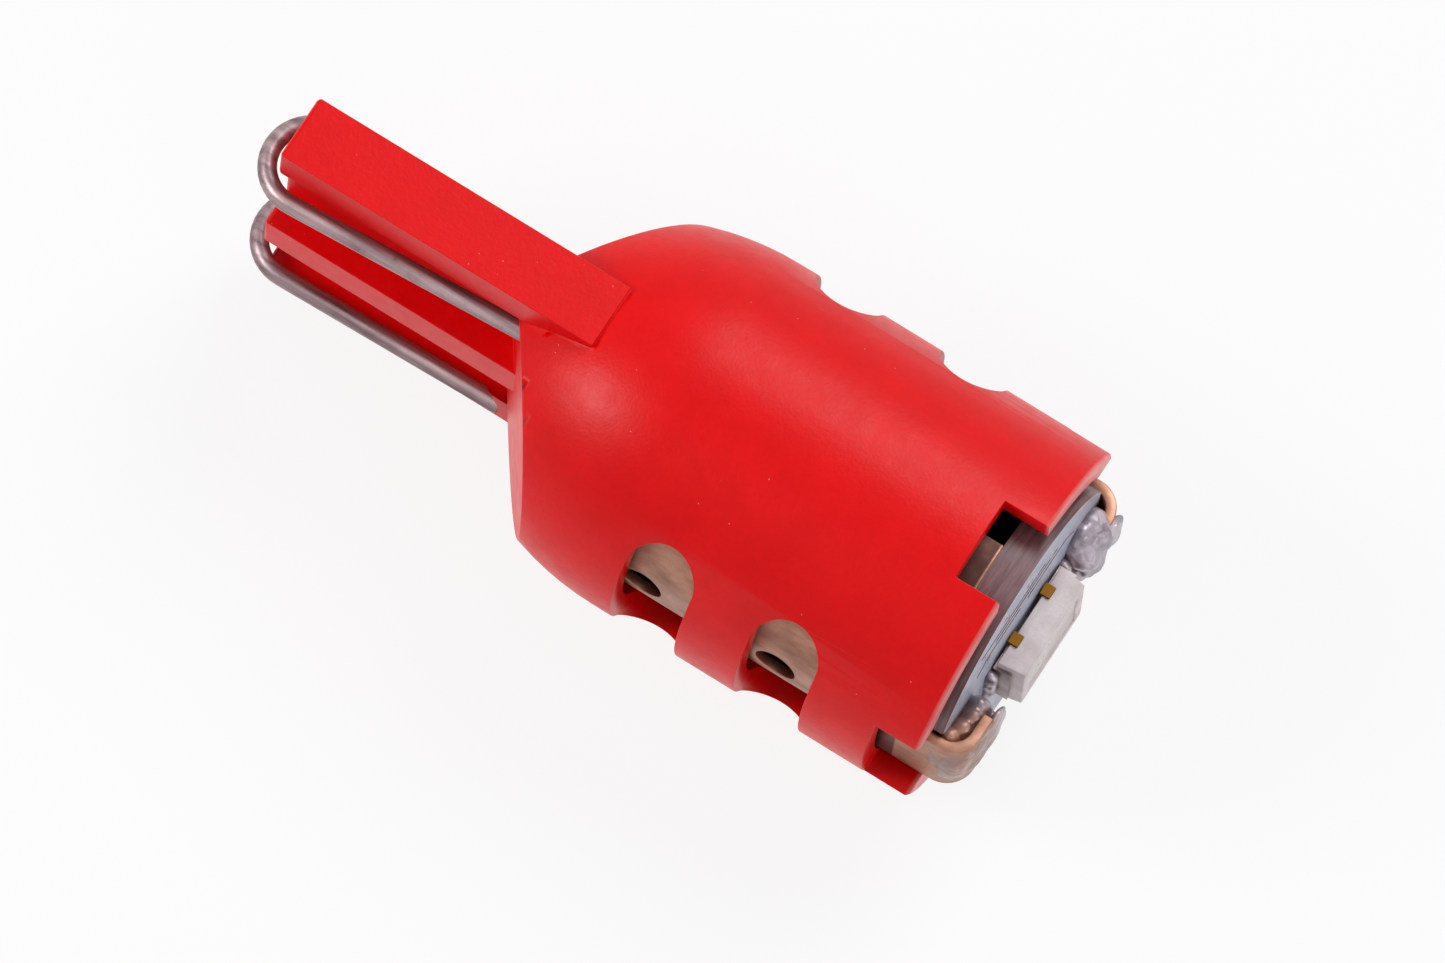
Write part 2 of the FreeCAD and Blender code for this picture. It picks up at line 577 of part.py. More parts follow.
def capped_piece(name, start, length, width, height):
    """A resistor or capacitor across the board's face, with a metal cap on each end."""
    body = new_body(name)
    block(body, f"{name}_core", (start, "driver_face", f"-({length}) / 2"), (width, height, length))
    for side, low in (("front", f"({length}) / 2 - cap_length"), ("back", f"-({length}) / 2")):
        block(body, f"{name}_cap_{side}", (f"{start} - cap_proud", "driver_face", low),
              (f"{width} + 2 * cap_proud", f"{height} + cap_proud", "cap_length"))
    return body


def chip(name, start, length, width, height, lead_places):
    """A chip under the board, with leads out of both long sides."""
    body = new_body(name)
    block(body, f"{name}_case", (start, f"driver_back - chip_standoff - {height}", f"-{width} / 2"),
          (length, height, width))
    for i, lead in enumerate(lead_places, start=1):
        corner = (f"{start} + {lead} - lead_width / 2", "driver_back - lead_thickness",
                  f"-{width} / 2 - lead_length")
        block(body, f"{name}_lead_{i}", corner,
              ("lead_width", "lead_thickness", f"{width} + 2 * lead_length"))
    return body


def link_wire(name, sign):
    """A straight wire on the driver board's face, up into its hole in the LED board."""
    body = new_body(name)
    lean = f"{sign}link_offset * tan(board_lean)"
    rod(body, f"{name}_rod", ("link_start", "link_height", f"{sign}link_offset"), "link_radius",
        f"board_back + link_depth - ({lean}) - link_start", "x")
    return body


def wire_joint(name, centre, across, wire_radius, board, wire):
    """A bead of solder that holds a wire on the driver board."""
    body = new_body(f"{name}_bead")
    rod(body, f"{name}_round", (f"{centre} - joint_length / 2", "driver_face", across),
        f"2 * {wire_radius} + joint_film + joint_cover", "joint_length", "x")
    return cut_out(name, body, [board, wire])


# All the pieces, by name
pieces = {"housing": housing(), "heat_tube": heat_tube(), "led_board": led_board()}
pieces["led_body"] = led_body()
pieces["led_die"] = led_die()
pieces["led_window"] = led_window(pieces["led_die"])
for end, sign in ENDS:
    pieces[f"led_terminal_{end}"] = led_terminal(end, sign)
    pieces[f"led_solder_{end}"] = led_solder(end, sign)
    pieces[f"claw_solder_{end}"] = claw_solder(end, sign, pieces["heat_tube"], pieces["led_board"])

pieces["driver_board"] = driver_board()
pieces["ceramic_capacitor"] = capped_piece(
    "ceramic_capacitor", "part_start", "part_length", "part_width", "capacitor_height")
pieces["series_resistor"] = capped_piece(
    "series_resistor", "part_start + part_width + part_gap", "part_length", "part_width", "resistor_height")
pieces["sense_resistor"] = capped_piece(
    "sense_resistor", "part_start + 2 * (part_width + part_gap)", "sense_length", "sense_width",
    "resistor_height")
pieces["bridge_rectifier"] = chip(
    "bridge_rectifier", "part_start", "rectifier_length", "rectifier_width", "rectifier_height",
    ("rectifier_length / 5", "rectifier_length * 4 / 5"))
pieces["driver_chip"] = chip(
    "driver_chip", "regulator_start", "regulator_length", "regulator_width", "regulator_height",
    ("regulator_length / 4", "regulator_length * 3 / 4"))

for side, sign in SIDES:
    wire = contact_wire(side, sign)
    link = link_wire(f"link_wire_{side}", sign)
    pieces[f"contact_wire_{side}"] = wire
    pieces[f"link_wire_{side}"] = link
    pieces[f"wire_solder_{side}"] = wire_joint(
        f"wire_solder_{side}", "wire_inner_end - joint_length / 3", f"{sign}wire_offset", "wire_radius",
        pieces["driver_board"], wire)
    pieces[f"link_solder_{side}"] = wire_joint(
        f"link_solder_{side}", "link_start + joint_length / 3", f"{sign}link_offset", "link_radius",
        pieces["driver_board"], link)
doc.recompute()

failed = [item.Name for item in doc.Objects if {"Invalid", "Error"} & set(item.State)]
if failed:
    raise RuntimeError(f"objects that failed: {failed}")
for name, piece in pieces.items():
    if piece.Shape.isNull() or not piece.Shape.isValid() or len(piece.Shape.Solids) != 1:
        raise RuntimeError(f"{name} is not one valid solid")
for name, piece in pieces.items():
    piece.Shape.exportStep(f"parts/{name}.step")
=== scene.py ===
import json
import math

import bmesh
import bpy
from mathutils import Matrix, Vector, noise


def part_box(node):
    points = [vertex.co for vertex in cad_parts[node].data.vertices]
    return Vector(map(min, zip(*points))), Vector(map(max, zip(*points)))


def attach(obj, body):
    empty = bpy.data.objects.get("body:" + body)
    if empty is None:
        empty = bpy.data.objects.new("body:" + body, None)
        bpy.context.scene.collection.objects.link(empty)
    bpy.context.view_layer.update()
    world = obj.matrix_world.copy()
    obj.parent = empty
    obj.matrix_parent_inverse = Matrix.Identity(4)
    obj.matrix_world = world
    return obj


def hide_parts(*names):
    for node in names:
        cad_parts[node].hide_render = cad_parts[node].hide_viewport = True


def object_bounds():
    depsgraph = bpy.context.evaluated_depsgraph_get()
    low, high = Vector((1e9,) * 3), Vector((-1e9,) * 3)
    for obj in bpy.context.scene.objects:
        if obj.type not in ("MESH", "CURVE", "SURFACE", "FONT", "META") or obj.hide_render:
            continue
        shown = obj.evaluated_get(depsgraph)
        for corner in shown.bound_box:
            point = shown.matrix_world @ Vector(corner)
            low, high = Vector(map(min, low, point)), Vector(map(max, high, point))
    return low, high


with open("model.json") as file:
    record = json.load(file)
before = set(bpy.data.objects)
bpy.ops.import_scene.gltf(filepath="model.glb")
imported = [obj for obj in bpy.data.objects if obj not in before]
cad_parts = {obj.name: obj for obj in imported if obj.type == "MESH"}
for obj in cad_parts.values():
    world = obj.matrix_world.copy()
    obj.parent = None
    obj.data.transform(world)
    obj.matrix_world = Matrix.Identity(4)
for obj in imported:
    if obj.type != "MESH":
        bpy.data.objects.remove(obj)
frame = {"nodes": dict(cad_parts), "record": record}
cad_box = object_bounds()

MM = 0.001
nodes = frame["nodes"]
scene = bpy.context.scene
scene.view_settings.view_transform = "Standard"

# The camera's frame in the row's axes, and where it looks
VIEW = Vector((0.1200, -0.2986, 0.9468)).normalized()
RIGHT = Vector((0.8465, 0.5291, 0.0596)).normalized()
UP = VIEW.cross(RIGHT)
TARGET = Vector((13.187, -0.641, -0.202)) * MM
FLOOR = -5.0 * MM
FLOOR_REACH = 2
CAMERA_DISTANCE = 0.45
TUBE_BELOW_RIM = 0.8
INSIDE_BOX = 2e-6

BOARD_AXIS = Vector((math.cos(math.radians(1.8)), 0, math.sin(math.radians(1.8))))


def srgb(red, green, blue):
    """A colour written as 0 to 255, as linear values."""
    values = [v / 255 for v in (red, green, blue)]
    return tuple(v / 12.92 if v <= 0.04045 else ((v + 0.055) / 1.055) ** 2.4 for v in values) + (1.0,)


class Nodes:
    """A material's node tree, with the object's own coordinates in millimetres."""

    def __init__(self, name):
        self.material = bpy.data.materials.new(name)
        self.material.use_nodes = True
        self.tree = self.material.node_tree
        self.shader = self.tree.nodes["Principled BSDF"]
        self.coordinates = self.tree.nodes.new("ShaderNodeTexCoord")
        self.place = self.scaled(1000)

    def add(self, kind, **values):
        node = self.tree.nodes.new(f"ShaderNode{kind}")
        for key, value in values.items():
            setattr(node, key, value)
        return node

    def link(self, output, socket):
        self.tree.links.new(output, socket)

    def scaled(self, *scale):
        mapping = self.add("Mapping")
        mapping.inputs["Scale"].default_value = scale * 3 if len(scale) == 1 else scale
        self.link(self.coordinates.outputs["Object"], mapping.inputs["Vector"])
        return mapping.outputs["Vector"]

    def noise(self, scale, detail=4.0, roughness=0.55, place=None):
        node = self.add("TexNoise")
        node.inputs["Scale"].default_value = scale
        node.inputs["Detail"].default_value = detail
        node.inputs["Roughness"].default_value = roughness
        self.link(place or self.place, node.inputs["Vector"])
        return node.outputs["Fac"]

    def cells(self, scale, output="Distance"):
        node = self.add("TexVoronoi")
        node.inputs["Scale"].default_value = scale
        self.link(self.place, node.inputs["Vector"])
        return node.outputs[output]

    def span(self, value, low, high, first=0.0, last=1.0):
        node = self.add("MapRange")
        self.link(value, node.inputs["Value"])
        for key, number in (("From Min", low), ("From Max", high), ("To Min", first), ("To Max", last)):
            node.inputs[key].default_value = number
        return node.outputs["Result"]

    def mix(self, factor, first, second):
        node = self.add("Mix", data_type="RGBA")
        for name, value in (("Factor", factor), ("A", first), ("B", second)):
            socket = next(s for s in node.inputs if s.name == name and s.enabled)
            if isinstance(value, (tuple, float)):
                socket.default_value = value
            else:
                self.link(value, socket)
        return next(s for s in node.outputs if s.enabled)

    def math(self, operation, first, second):
        node = self.add("Math", operation=operation)
        for socket, value in zip(node.inputs, (first, second)):
            if isinstance(value, float):
                socket.default_value = value
            else:
                self.link(value, socket)
        return node.outputs["Value"]

    def bump(self, height, depth, strength=1.0, under=None):
        node = self.add("Bump")
        node.inputs["Strength"].default_value = strength
        node.inputs["Distance"].default_value = depth * MM
        self.link(height, node.inputs["Height"])
        if under is not None:
            self.link(under, node.inputs["Normal"])
        return node.outputs["Normal"]

    def finish(self, colour, roughness, normal, **values):
        self.link(colour, self.shader.inputs["Base Color"])
        self.link(roughness, self.shader.inputs["Roughness"])
        self.link(normal, self.shader.inputs["Normal"])
        for key, value in values.items():
            self.shader.inputs[key.replace("_", " ").title()].default_value = value
        return self.material


def axis_value(n, axis):
    """One of the object's own coordinates, in millimetres."""
    split = n.add("SeparateXYZ")
    n.link(n.place, split.inputs["Vector"])
    return split.outputs[axis]


def red_plastic(rim):
    """Satin red moulding with mottling, fine grain, specks of pale dust and a painted pale sheen along the
    thin rim.
    """
    n = Nodes("red_plastic")
    mottle = n.noise(0.9, 5.0)
    grain = n.noise(7.0, 3.0)
    speck = n.math("MULTIPLY", n.span(n.cells(2.6), 0.05, 0.025), n.span(n.noise(0.8, 1.0), 0.52, 0.6))
    scuff = n.span(n.noise(1.6, 8.0, 0.7), 0.6, 0.78, 0.0, 0.16)
    colour = n.mix(n.span(mottle, 0.35, 0.68), srgb(224, 0, 4), srgb(234, 3, 9))
    colour = n.mix(n.span(grain, 0.4, 0.75, 0.0, 0.3), colour, srgb(208, 0, 5))
    colour = n.mix(scuff, colour, srgb(238, 36, 36))
    # Painted highlight: a pale pink sheen along the rim's edge, where the light catches it.
    rim_sheen = n.math("MULTIPLY", n.span(axis_value(n, "X"), rim - 0.12, rim - 0.01),
                    n.span(n.noise(1.4, 4.0), 0.3, 0.55, 0.6, 1.0))
    colour = n.mix(rim_sheen, colour, srgb(242, 140, 138))
    colour = n.mix(speck, colour, srgb(242, 150, 140))
    roughness = n.span(n.noise(2.2, 5.0), 0.3, 0.7, 0.32, 0.41)
    normal = n.bump(n.noise(3.2, 4.0), 0.010, 0.5)
    normal = n.bump(n.noise(13.0, 2.0), 0.007, 0.7, normal)
    normal = n.bump(speck, 0.012, 0.6, normal)
    n.shader.inputs["Specular IOR Level"].default_value = 0.22
    return n.finish(colour, roughness, normal)


def drawn_metal(name, bright, dark, roughness, streaks, pits=0.25, metallic=1.0, tint=None):
    """Metal with streaks along its length, dull patches, small dark pits and, where a mask is given, one
    more colour over it: a stain on the LED's tabs, painted shade on the copper tube.
    """
    n = Nodes(name)
    streak = n.noise(1.0, 5.0, 0.6, n.scaled(*(v * 1000 for v in streaks)))
    patch = n.noise(1.3, 6.0, 0.65)
    pit = n.span(n.noise(4.5, 5.0, 0.7), 0.64, 0.72, 0.0, pits)
    colour = n.mix(n.span(streak, 0.35, 0.7), bright, dark)
    colour = n.mix(n.span(patch, 0.45, 0.75, 0.0, 0.5), colour, dark)
    colour = n.mix(pit, colour, (0.02, 0.018, 0.018, 1.0))
    if tint is not None:
        # The extra colour is a real stain on the LED's tabs and painted shade on the copper tube.
        colour = n.mix(tint[0](n), colour, tint[1])
    rough = n.span(patch, 0.3, 0.75, roughness - 0.08, roughness + 0.12)
    normal = n.bump(streak, 0.01, 0.5)
    normal = n.bump(n.noise(5.0, 4.0), 0.008, 0.4, normal)
    return n.finish(colour, rough, normal, metallic=metallic)


def shade_inside_rim(n):
    """Painted shade on the part of the tube just inside the body's rim, where the moulding shadows it."""
    along = axis_value(n, "X")
    tube_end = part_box("housing")[1].x / MM - TUBE_BELOW_RIM
    cloudy = n.span(n.noise(1.2, 5.0, 0.6), 0.25, 0.6, 0.8, 1.0)
    band = n.math("MULTIPLY", n.span(along, tube_end - 2.6, tube_end - 1.3),
                  n.span(along, tube_end - 0.04, tube_end - 0.07))
    return n.math("MULTIPLY", band, cloudy)


def side_ends(n):
    """The ends of a terminal's side tab, which stand out of the moulding."""
    return n.span(n.math("ABSOLUTE", axis_value(n, "Z"), 0.0), 0.9, 0.95)


def board_mask():
    """White mask on the board's faces, a dark metal core at its edge."""
    n = Nodes("white_board")
    direction = n.add("VectorMath", operation="DOT_PRODUCT")
    n.link(n.coordinates.outputs["Normal"], direction.inputs[0])
    direction.inputs[1].default_value = BOARD_AXIS
    facing = n.math("ABSOLUTE", direction.outputs["Value"], 0.0)
    is_edge = n.span(facing, 0.75, 0.6)
    cloud = n.noise(0.9, 6.0, 0.65)
    # Darker stains in patches over the mask.
    tint = n.span(n.noise(1.7, 7.0, 0.7), 0.55, 0.75, 0.0, 0.55)
    face = n.mix(n.span(cloud, 0.3, 0.7), srgb(196, 198, 214), srgb(168, 170, 192))
    face = n.mix(tint, face, srgb(120, 110, 122))
    near_claws = n.span(n.math("ABSOLUTE", axis_value(n, "Y"), 0.0), 1.8, 3.2, 0.0, 0.35)
    flux = n.math("MULTIPLY", near_claws, n.span(n.noise(1.1, 5.0, 0.6), 0.4, 0.6))
    face = n.mix(flux, face, srgb(128, 98, 84))
    layers = n.noise(1.0, 5.0, 0.6, n.scaled(9000, 900, 900))
    edge = n.mix(n.span(layers, 0.35, 0.65), srgb(96, 66, 70), srgb(134, 104, 108))
    colour = n.mix(is_edge, face, edge)
    roughness = n.span(cloud, 0.3, 0.7, 0.32, 0.5)
    normal = n.bump(n.noise(5.0, 4.0), 0.01, 0.5)
    return n.finish(colour, roughness, normal)


def mottled(name, light, dark, rough=0.5, scale=1.6, depth=0.012, spot=None):
    """Moulded or ceramic surface with fine grain, cloudy tone and a few stains."""
    n = Nodes(name)
    cloud = n.noise(scale, 6.0, 0.6)
    grain = n.noise(scale * 7, 3.0)
    colour = n.mix(n.span(cloud, 0.32, 0.7), light, dark)
    colour = n.mix(n.span(grain, 0.5, 0.75, 0.0, 0.4), colour, dark)
    if spot is not None:
        colour = n.mix(n.span(n.noise(scale * 2.4, 5.0, 0.7), 0.62, 0.7, 0.0, 0.7), colour, spot)
    roughness = n.span(cloud, 0.3, 0.7, rough - 0.07, rough + 0.08)
    normal = n.bump(grain, depth, 0.5)
    return n.finish(colour, roughness, normal)


def solder_metal():
    """Cooled solder: pale crust and hollows of flux, with copper showing where it is a thin film."""
    n = Nodes("solder")
    facet = n.cells(2.2, output="Color")
    tone = n.add("SeparateColor")
    n.link(facet, tone.inputs["Color"])
    crust = n.noise(2.4, 7.0, 0.7)
    colour = n.mix(n.span(tone.outputs["Red"], 0.2, 0.9), srgb(196, 184, 192), srgb(152, 142, 152))
    colour = n.mix(n.span(crust, 0.55, 0.75, 0.0, 0.7), colour, srgb(98, 86, 92))
    film = n.span(axis_value(n, "Y"), -2.3, -2.8)
    brown = n.mix(n.span(n.noise(0.9, 4.0), 0.35, 0.65), srgb(176, 132, 114), srgb(142, 118, 116))
    colour = n.mix(film, colour, brown)
    roughness = n.span(tone.outputs["Green"], 0.1, 0.9, 0.3, 0.5)
    normal = n.bump(n.cells(1.6), 0.04, 0.3)
    normal = n.bump(crust, 0.02, 0.4, normal)
    return n.finish(colour, roughness, normal, metallic=0.6)


ALONG = (0.25, 4.0, 4.0)
MATERIALS = {
    "red_plastic": red_plastic(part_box("housing")[1].x / MM),
    "tinned_wire": drawn_metal("tinned_wire", srgb(178, 154, 156), srgb(104, 84, 88), 0.40, ALONG, 0.6, 0.8),
    # The copper tube gets painted shade just inside the body's rim.
    "copper_sheet": drawn_metal("copper_sheet", srgb(184, 138, 116), srgb(142, 100, 82), 0.42,
                                (1.0, 2.2, 2.2), 0.35, 0.75, (shade_inside_rim, srgb(74, 48, 44))),
    "white_board": board_mask(),
    "led_moulding": mottled("led_moulding", srgb(232, 220, 220), srgb(206, 190, 192), 0.5, 1.4),
    "led_fill": mottled("led_fill", srgb(216, 202, 200), srgb(190, 174, 172), 0.3, 1.1),
    "die": mottled("die", srgb(196, 84, 60), srgb(120, 40, 34), 0.3, 4.0),
    "led_metal": drawn_metal("led_metal", srgb(186, 174, 174), srgb(120, 104, 100), 0.4, (1.0, 1.0, 1.0),
                             tint=(side_ends, srgb(122, 84, 30))),
    "solder": solder_metal(),
    "green_board": mottled("green_board", srgb(40, 112, 66), srgb(18, 66, 38), 0.42, 1.2),
    "capacitor_ceramic": mottled("capacitor_ceramic", srgb(196, 160, 120), srgb(160, 120, 82), 0.5, 1.8),
    "resistor_body": mottled("resistor_body", srgb(44, 42, 44), srgb(22, 21, 23), 0.45, 2.0),
    "chip_case": mottled("chip_case", srgb(50, 49, 52), srgb(26, 25, 28), 0.55, 1.6),
}
slots = {item["node"]: item["material_slot"] for item in frame["record"]["subparts"]}
for name, piece in nodes.items():
    piece.data.materials.clear()
    piece.data.materials.append(MATERIALS[slots[name]])


def new_piece(name, mesh, slot, *replaced):
    """A mesh that rides on the bulb, with the finish of one of the record's slots."""
    piece = bpy.data.objects.new(name, mesh)
    scene.collection.objects.link(piece)
    mesh.materials.clear()
    mesh.materials.append(MATERIALS[slot])
    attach(piece, "root")
    if replaced:
        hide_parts(*replaced)


def baked(piece):
    """The mesh of an object with its modifiers applied."""
    view = bpy.context.evaluated_depsgraph_get()
    mesh = bpy.data.meshes.new_from_object(piece.evaluated_get(view))
    bpy.data.objects.remove(piece)
    return mesh


def softened(node, width, crease):
    """A CAD piece with each edge sharper than the crease rounded a little."""
    bm = bmesh.new()
    bm.from_mesh(nodes[node].data)
    bmesh.ops.remove_doubles(bm, verts=bm.verts, dist=0.01 * MM)
    bmesh.ops.dissolve_limit(bm, angle_limit=math.radians(0.8), verts=bm.verts, edges=bm.edges)
    sharp = [e for e in bm.edges if e.is_manifold and e.calc_face_angle(0) > math.radians(crease)]
    bmesh.ops.bevel(bm, geom=sharp, offset=width * MM, segments=2, profile=0.5, affect="EDGES",
                    clamp_overlap=False)
    low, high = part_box(node)
    for vertex in bm.verts:
        vertex.co = Vector(min(max(v, a), b) for v, a, b in zip(vertex.co, low, high))
    bmesh.ops.triangulate(bm, faces=[f for f in bm.faces if len(f.verts) > 4])
    mesh = bpy.data.meshes.new(f"{node}_soft")
    bm.to_mesh(mesh)
    bm.free()
    mesh.polygons.foreach_set("use_smooth", [True] * len(mesh.polygons))
    mesh.set_sharp_from_angle(angle=math.radians(50))
    raw = bpy.data.objects.new(f"{node}_raw", mesh)
    scene.collection.objects.link(raw)
    weighted = raw.modifiers.new("weighted", "WEIGHTED_NORMAL")
    weighted.keep_sharp = True
    weighted.weight = 80
    new_piece(f"{node}_soft", baked(raw), slots[node], node)


def lumps(name, balls, voxel, smooth, rough, seed, node):
    """One rough mass fused from balls of (centre, size), in millimetres, in place of a CAD node."""
    bm = bmesh.new()
    for centre, size in balls:
        matrix = Matrix.Translation(Vector(centre) * MM) @ Matrix.Diagonal((*(v * MM for v in size), 1))
        bmesh.ops.create_icosphere(bm, subdivisions=3, radius=1.0, matrix=matrix)
    mesh = bpy.data.meshes.new(f"{name}_mass")
    bm.to_mesh(mesh)
    bm.free()
    raw = bpy.data.objects.new(f"{name}_raw", mesh)
    scene.collection.objects.link(raw)
    remesh = raw.modifiers.new("fuse", "REMESH")
    remesh.mode = "VOXEL"
    remesh.voxel_size = voxel * MM
    relax = raw.modifiers.new("relax", "SMOOTH")
    relax.iterations = smooth
    mesh = baked(raw)
    top = cad_box[1].x - INSIDE_BOX
    for vertex in mesh.vertices:
        at = vertex.co / MM + Vector((seed, 2 * seed, 3 * seed))
        coarse = noise.noise(at * 1.7)
        fine = noise.noise(at * 5.5)
        vertex.co += vertex.normal * MM * rough * (coarse + 0.3 * fine)
        vertex.co.x = min(vertex.co.x, top)
    mesh.polygons.foreach_set("use_smooth", [True] * len(mesh.polygons))
    new_piece(name, mesh, "solder", node)


for node, width, crease in (("housing", 0.02, 28), ("heat_tube", 0.03, 40), ("led_body", 0.03, 40)):
    softened(node, width, crease)

# Solder that holds the claws to the board: a rough chunk on the left claw, a smooth film on the right
board_level = max(BOARD_AXIS.dot(v.co) for v in nodes["led_board"].data.vertices) / MM
chunk_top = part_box("claw_solder_left")[1].x / MM - 0.1
film_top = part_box("claw_solder_right")[1].x / MM - 0.1
lumps("claw_solder_left_lump", [
    ((board_level + 0.10, 2.65, 1.00), (0.36, 0.55, 0.62)),
    ((board_level + 0.16, 3.05, 1.12), (0.40, 0.45, 0.48)),
    ((board_level + 0.36, 2.45, 0.66), (0.44, 0.48, 0.62)),
    ((board_level + 0.46, 3.00, 0.86), (0.38, 0.52, 0.50)),
    ((board_level + 0.20, 2.45, -0.50), (0.42, 0.40, 0.62)),
    ((chunk_top + 0.02, 2.65, 0.10), (0.22, 0.56, 0.80)),
    ((chunk_top + 0.04, 3.30, 0.52), (0.22, 0.52, 0.66)),
    ((chunk_top + 0.10, 3.25, 0.80), (0.16, 0.42, 0.42)),
    ((chunk_top - 0.02, 3.45, -0.30), (0.18, 0.34, 0.70)),
], 0.045, 8, 0.09, 3.7, "claw_solder_left")
lumps("claw_solder_right_lump", [
    ((board_level + 0.30, -2.50, 0.45), (0.40, 0.34, 0.90)),
    ((board_level + 0.32, -2.85, 0.45), (0.42, 0.40, 0.92)),
    ((board_level + 0.26, -3.25, 0.45), (0.40, 0.40, 0.90)),
    ((board_level + 0.10, -3.60, 0.42), (0.38, 0.36, 0.86)),
    ((board_level - 0.10, -3.88, 0.36), (0.34, 0.26, 0.84)),
    ((film_top, -2.55, 0.00), (0.12, 0.58, 1.28)),
    ((film_top - 0.03, -3.05, -0.05), (0.12, 0.52, 1.30)),
    ((film_top - 0.20, -3.55, -0.05), (0.20, 0.40, 1.28)),
    ((film_top - 0.52, -3.88, -0.05), (0.38, 0.26, 1.22)),
], 0.04, 8, 0.05, -5.2, "claw_solder_right")

# Solder at the ends of the LED
for end, outward in (("left", 1), ("right", -1)):
    low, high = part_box(f"led_solder_{end}")
    middle = (low + high) / 2 / MM
    tip = (high.y if outward > 0 else low.y) / MM
    balls = [((board_level + 0.08, tip - 0.16 * outward, middle.z + shift), (0.22, 0.2, 0.34))
             for shift in (-0.5, -0.05, 0.45)]
    balls.append(((board_level + 0.03, middle.y, middle.z), (0.05, 0.6, 0.8)))
    lumps(f"led_solder_{end}_lump", balls, 0.035, 2, 0.05, 1.3 * outward, f"led_solder_{end}")

# Raised lines under the board's white mask and plated holes in it, beside the LED
ACROSS = Vector((-BOARD_AXIS.z, 0, BOARD_AXIS.x))


def on_board(y, s, height):
    """A place on the board's face: along the LED, across it and above the face."""
    return (Vector((0, y, 0)) + ACROSS * s + BOARD_AXIS * (board_level + height)) * MM


def capsule(bm, start, stop, width, height):
    """A raised line with round ends between two points of the board's face."""
    first, last = Vector(start), Vector(stop)
    way = (last - first).normalized()
    heading = math.atan2(way.y, way.x)
    ring = []
    for centre, turn in ((last, -math.pi / 2), (first, math.pi / 2)):
        for i in range(9):
            angle = heading + turn + math.pi * i / 8
            ring.append(centre + Vector((math.cos(angle), math.sin(angle))) * width / 2)
    foot = [bm.verts.new(on_board(p.x, p.y, -0.01)) for p in ring]
    rim = [bm.verts.new(on_board(p.x, p.y, height * 0.6)) for p in ring]
    middle = (first + last) / 2
    inner = [bm.verts.new(on_board(*(p + (middle - p).normalized() * 0.012), height)) for p in ring]
    for lower, upper in ((foot, rim), (rim, inner)):
        for i in range(len(ring)):
            j = (i + 1) % len(ring)
            bm.faces.new((lower[i], lower[j], upper[j], upper[i]))
    bm.faces.new(inner)


lines = bmesh.new()
plated = bmesh.new()
for sign in (1, -1):
    for s, y0, y1, width in ((1.52, -1.7, -0.25, 0.2), (1.52, 0.3, 1.9, 0.2), (1.9, -1.3, 1.5, 0.14),
                             (2.2, -2.0, 0.9, 0.14)):
        capsule(lines, (y0, s * sign), (y1, s * sign), width, 0.018)
    capsule(lines, (-1.7, 1.52 * sign), (-2.1, 1.2 * sign), 0.2, 0.018)
    capsule(lines, (1.9, 1.52 * sign), (2.3, 1.2 * sign), 0.2, 0.018)
    for s, y in ((2.2, 1.25), (2.55, 0.2), (1.9, -1.75), (2.55, -0.9)):
        capsule(plated, (y, s * sign), (y + 0.01, s * sign), 0.26, 0.022)
for name, bm, slot in (("board_lines", lines, "white_board"), ("board_holes", plated, "solder")):
    bmesh.ops.recalc_face_normals(bm, faces=bm.faces)
    mesh = bpy.data.meshes.new(name)
    bm.to_mesh(mesh)
    bm.free()
    new_piece(name, mesh, slot)

# The floor, which keeps the bulb's shadow
floor_mesh = bpy.data.meshes.new("floor")
floor_corners = [(x * FLOOR_REACH, y * FLOOR_REACH, FLOOR) for x, y in ((-1, -1), (1, -1), (1, 1), (-1, 1))]
floor_mesh.from_pydata(floor_corners, [], [(0, 1, 2, 3)])
floor = bpy.data.objects.new("floor", floor_mesh)
scene.collection.objects.link(floor)
paper = Nodes("paper")
cloud = paper.span(paper.noise(0.02, 2.0), 0.3, 0.7)
tone = paper.mix(cloud, (0.86, 0.86, 0.86, 1.0), (0.88, 0.88, 0.88, 1.0))
sheen = paper.span(paper.noise(0.1), 0.0, 1.0, 0.85, 0.95)
paper.finish(tone, sheen, paper.bump(paper.noise(2.0), 0.001, 0.1))
glow = paper.add("Emission")
glow.inputs["Color"].default_value = (1, 1, 1, 1)
path = paper.add("LightPath").outputs
seen = paper.math("MAXIMUM", paper.math("MAXIMUM", path["Is Camera Ray"], path["Is Glossy Ray"]),
                  path["Is Transmission Ray"])
blend = paper.add("MixShader")
paper.link(paper.math("MULTIPLY", seen, 0.85), blend.inputs["Fac"])
paper.link(paper.shader.outputs["BSDF"], blend.inputs[1])
paper.link(glow.outputs["Emission"], blend.inputs[2])
paper.link(blend.outputs["Shader"], paper.tree.nodes["Material Output"].inputs["Surface"])
floor_mesh.materials.append(paper.material)

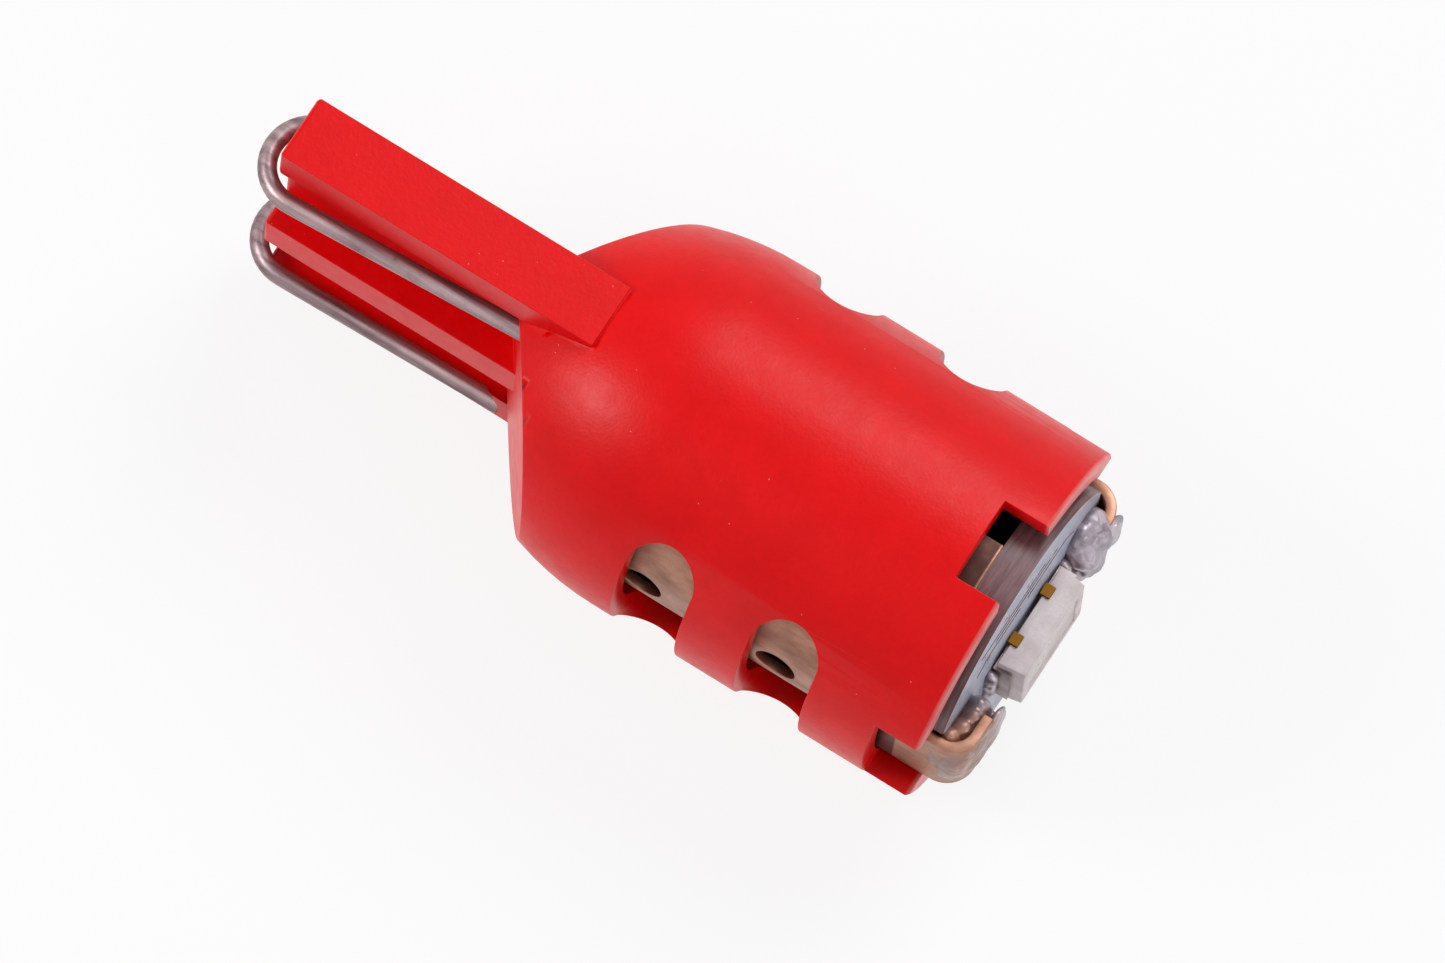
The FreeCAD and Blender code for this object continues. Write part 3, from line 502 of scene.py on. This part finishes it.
# Studio light: an even world, seen as white, and soft lamps
world = bpy.data.worlds.new("studio")
scene.world = world
world.use_nodes = True
tree = world.node_tree
tree.nodes.clear()
path = tree.nodes.new("ShaderNodeLightPath").outputs
seen = path["Is Camera Ray"]
for kind in ("Is Glossy Ray", "Is Transmission Ray"):
    either = tree.nodes.new("ShaderNodeMath")
    either.operation = "MAXIMUM"
    tree.links.new(seen, either.inputs[0])
    tree.links.new(path[kind], either.inputs[1])
    seen = either.outputs["Value"]
even = tree.nodes.new("ShaderNodeBackground")
even.inputs["Color"].default_value = (1, 1, 1, 1)
even.inputs["Strength"].default_value = 0.22
white = tree.nodes.new("ShaderNodeBackground")
white.inputs["Color"].default_value = (1, 1, 1, 1)
white.inputs["Strength"].default_value = 1.0
blend = tree.nodes.new("ShaderNodeMixShader")
tree.links.new(seen, blend.inputs["Fac"])
tree.links.new(even.outputs["Background"], blend.inputs[1])
tree.links.new(white.outputs["Background"], blend.inputs[2])
tree.links.new(blend.outputs["Shader"], tree.nodes.new("ShaderNodeOutputWorld").inputs["Surface"])


def lamp(name, direction, distance, size, share):
    """A square soft lamp that adds a share of a white surface's full brightness."""
    data = bpy.data.lights.new(name, "AREA")
    data.shape = "SQUARE"
    data.size = size
    data.energy = share * math.pi * math.pi * distance * distance
    item = bpy.data.objects.new(name, data)
    scene.collection.objects.link(item)
    aim = Vector(direction).normalized()
    item.location = TARGET + aim * distance
    item.rotation_euler = aim.to_track_quat("Z", "Y").to_euler()


lamp("key", (-0.63, -0.41, 0.66), 0.16, 0.06, 0.46)
lamp("top", (0.12, 0.62, 0.78), 0.22, 0.12, 0.56)
lamp("tip", (0.95, -0.25, 0.35), 0.25, 0.16, 0.2)

camera_data = bpy.data.cameras.new("camera")
camera_data.sensor_width = 36
camera_data.lens = 447.3
camera_data.clip_start = 0.01
camera = bpy.data.objects.new("camera", camera_data)
scene.collection.objects.link(camera)
turn = Matrix((RIGHT, UP, VIEW)).transposed().to_4x4()
camera.matrix_world = Matrix.Translation(TARGET + VIEW * CAMERA_DISTANCE) @ turn
scene.camera = camera
